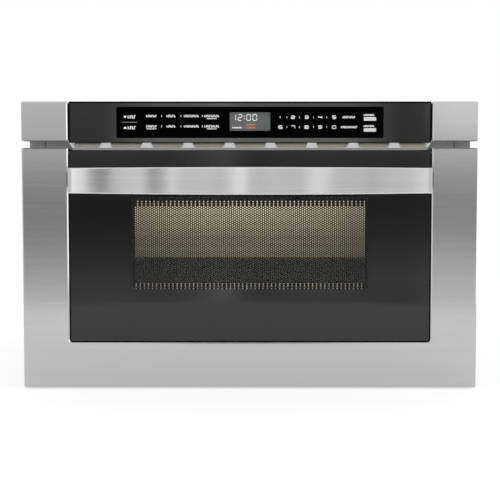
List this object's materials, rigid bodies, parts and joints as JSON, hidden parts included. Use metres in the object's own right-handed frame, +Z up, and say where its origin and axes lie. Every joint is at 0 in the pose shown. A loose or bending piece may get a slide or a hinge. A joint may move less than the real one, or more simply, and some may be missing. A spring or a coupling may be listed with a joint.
{
  "type": "microwave drawer",
  "caption": "Built-in microwave drawer: stainless and black glass front with a bowed handle and a window, on a powered slide-out tub in an enamelled oven cavity.",
  "frame": {"origin": "On the underside of the chassis base, in the middle of its width, in the cabinet face plane that the mounting flanges lie on", "axes": "+X to the user's right, +Y to the back of the appliance, +Z up; the drawer opens towards -Y"},
  "size_m": [0.606, 0.655, 0.384],
  "materials": {
    "stainless": "horizontally brushed, satin",
    "handle_steel": "fine brushed, semi-bright",
    "galvanised": "zinc coated sheet",
    "slide_steel": "zinc plated",
    "cream_enamel": "baked enamel, semi-gloss",
    "louvre_enamel": "satin enamel",
    "tub_enamel": "dark enamel, semi-gloss",
    "black_enamel": "black enamel",
    "door_glass": "black printed glass with a clear window",
    "control_glass": "black printed glass",
    "clear_glass": "clear",
    "bulb_glass": "frosted, lit",
    "black_plastic": "moulded, matt",
    "white_plastic": "moulded, matt",
    "natural_nylon": "moulded nylon",
    "circuit_board": "solder mask",
    "tray_ceramic": "smooth, pale",
    "gear_steel": "machined",
    "motor_metal": "plated can",
    "core_steel": "varnished laminations",
    "capacitor_can": "drawn can",
    "magnetron_metal": "fins in a plated yoke",
    "bronze": "sintered bushes"
  },
  "bodies": {
    "chassis": {"chassis_base": "galvanised", "chassis_wrap": "galvanised", "rear_panel": "galvanised", "cord_bushing": "black_plastic", "front_frame": "galvanised", "mounting_flange_left": "galvanised", "mounting_flange_right": "galvanised", "vent_louvre": "louvre_enamel", "air_duct": "white_plastic", "oven_cavity": "cream_enamel", "stirrer_cover": "white_plastic", "stirrer_motor": "motor_metal", "waveguide": "galvanised", "magnetron": "magnetron_metal", "lamp_holder": "black_plastic", "lamp_bulb": "bulb_glass", "fan_housing": "black_plastic", "fan_motor": "motor_metal", "transformer": "core_steel", "capacitor": "capacitor_can", "noise_filter": "circuit_board", "rail_outer_left": "slide_steel", "rail_outer_right": "slide_steel", "drawer_motor": "motor_metal", "motor_bracket": "galvanised", "shaft_brackets": "galvanised", "shaft_bushes": "bronze", "interlock_switches": "black_plastic", "panel_cap_left": "stainless", "panel_cap_right": "stainless", "control_glass": "control_glass", "panel_carrier": "black_plastic", "control_board": "circuit_board", "display_module": "black_plastic"},
    "drawer": {"drawer_frame": "galvanised", "front_trim": "stainless", "door_glass": "door_glass", "window_screen": "black_enamel", "inner_window": "clear_glass", "choke_cover": "black_plastic", "handle_bar": "handle_steel", "handle_posts": "handle_steel", "drawer_tub": "tub_enamel", "ceramic_tray": "tray_ceramic", "drawer_arm_left": "galvanised", "drawer_arm_right": "galvanised", "rail_inner_left": "slide_steel", "rail_inner_right": "slide_steel", "drive_rack_left": "natural_nylon", "drive_rack_right": "natural_nylon", "latch_hooks": "galvanised"},
    "slide_middle_left": {"rail_middle_left": "slide_steel"},
    "slide_middle_right": {"rail_middle_right": "slide_steel"},
    "cross_shaft": {"drive_shaft": "gear_steel"},
    "motor_pinion": {"motor_gear": "natural_nylon"},
    "fan": {"fan_wheel": "white_plastic"},
    "stirrer": {"stirrer_blade": "magnetron_metal"},
    "plunger_left": {"interlock_plunger_left": "natural_nylon"},
    "plunger_right": {"interlock_plunger_right": "natural_nylon"}
  },
  "joints": [
    {"name": "drawer_slide", "type": "slide", "parent": "chassis", "child": "drawer", "axis": [0, -1, 0], "range_m": [0, 0.38]},
    {"name": "slide_left", "type": "slide", "parent": "chassis", "child": "slide_middle_left", "axis": [0, -1, 0], "range_m": [0, 0.19]},
    {"name": "slide_right", "type": "slide", "parent": "chassis", "child": "slide_middle_right", "axis": [0, -1, 0], "range_m": [0, 0.19]},
    {"name": "shaft_spin", "type": "hinge", "parent": "chassis", "child": "cross_shaft", "pos_m": [0, 0.04, 0.02013], "axis": [1, 0, 0], "range_deg": [0, 1815]},
    {"name": "motor_spin", "type": "hinge", "parent": "chassis", "child": "motor_pinion", "pos_m": [0.204, 0.05884, 0.03332], "axis": [1, 0, 0], "range_deg": [-3403, 0]},
    {"name": "fan_spin", "type": "hinge", "parent": "chassis", "child": "fan", "pos_m": [-0.093, 0.527, 0.2685], "axis": [1, 0, 0], "continuous": true},
    {"name": "stirrer_spin", "type": "hinge", "parent": "chassis", "child": "stirrer", "pos_m": [0, 0.215, 0.29], "axis": [0, 0, 1], "continuous": true},
    {"name": "plunger_left_press", "type": "slide", "parent": "chassis", "child": "plunger_left", "axis": [0, 0, 1], "range_m": [0, 0.0012]},
    {"name": "plunger_right_press", "type": "slide", "parent": "chassis", "child": "plunger_right", "axis": [0, 0, 1], "range_m": [0, 0.0012]}
  ],
  "couplings": [
    {"joint": "slide_left", "follows": "drawer_slide", "ratio": 0.5},
    {"joint": "slide_right", "follows": "drawer_slide", "ratio": 0.5},
    {"joint": "shaft_spin", "follows": "drawer_slide", "rad_per_m": 83.333},
    {"joint": "motor_spin", "follows": "drawer_slide", "rad_per_m": -156.25},
    {"joint": "plunger_left_press", "follows": "drawer_slide", "ratio": 0.0031579},
    {"joint": "plunger_right_press", "follows": "drawer_slide", "ratio": 0.0031579}
  ]
}
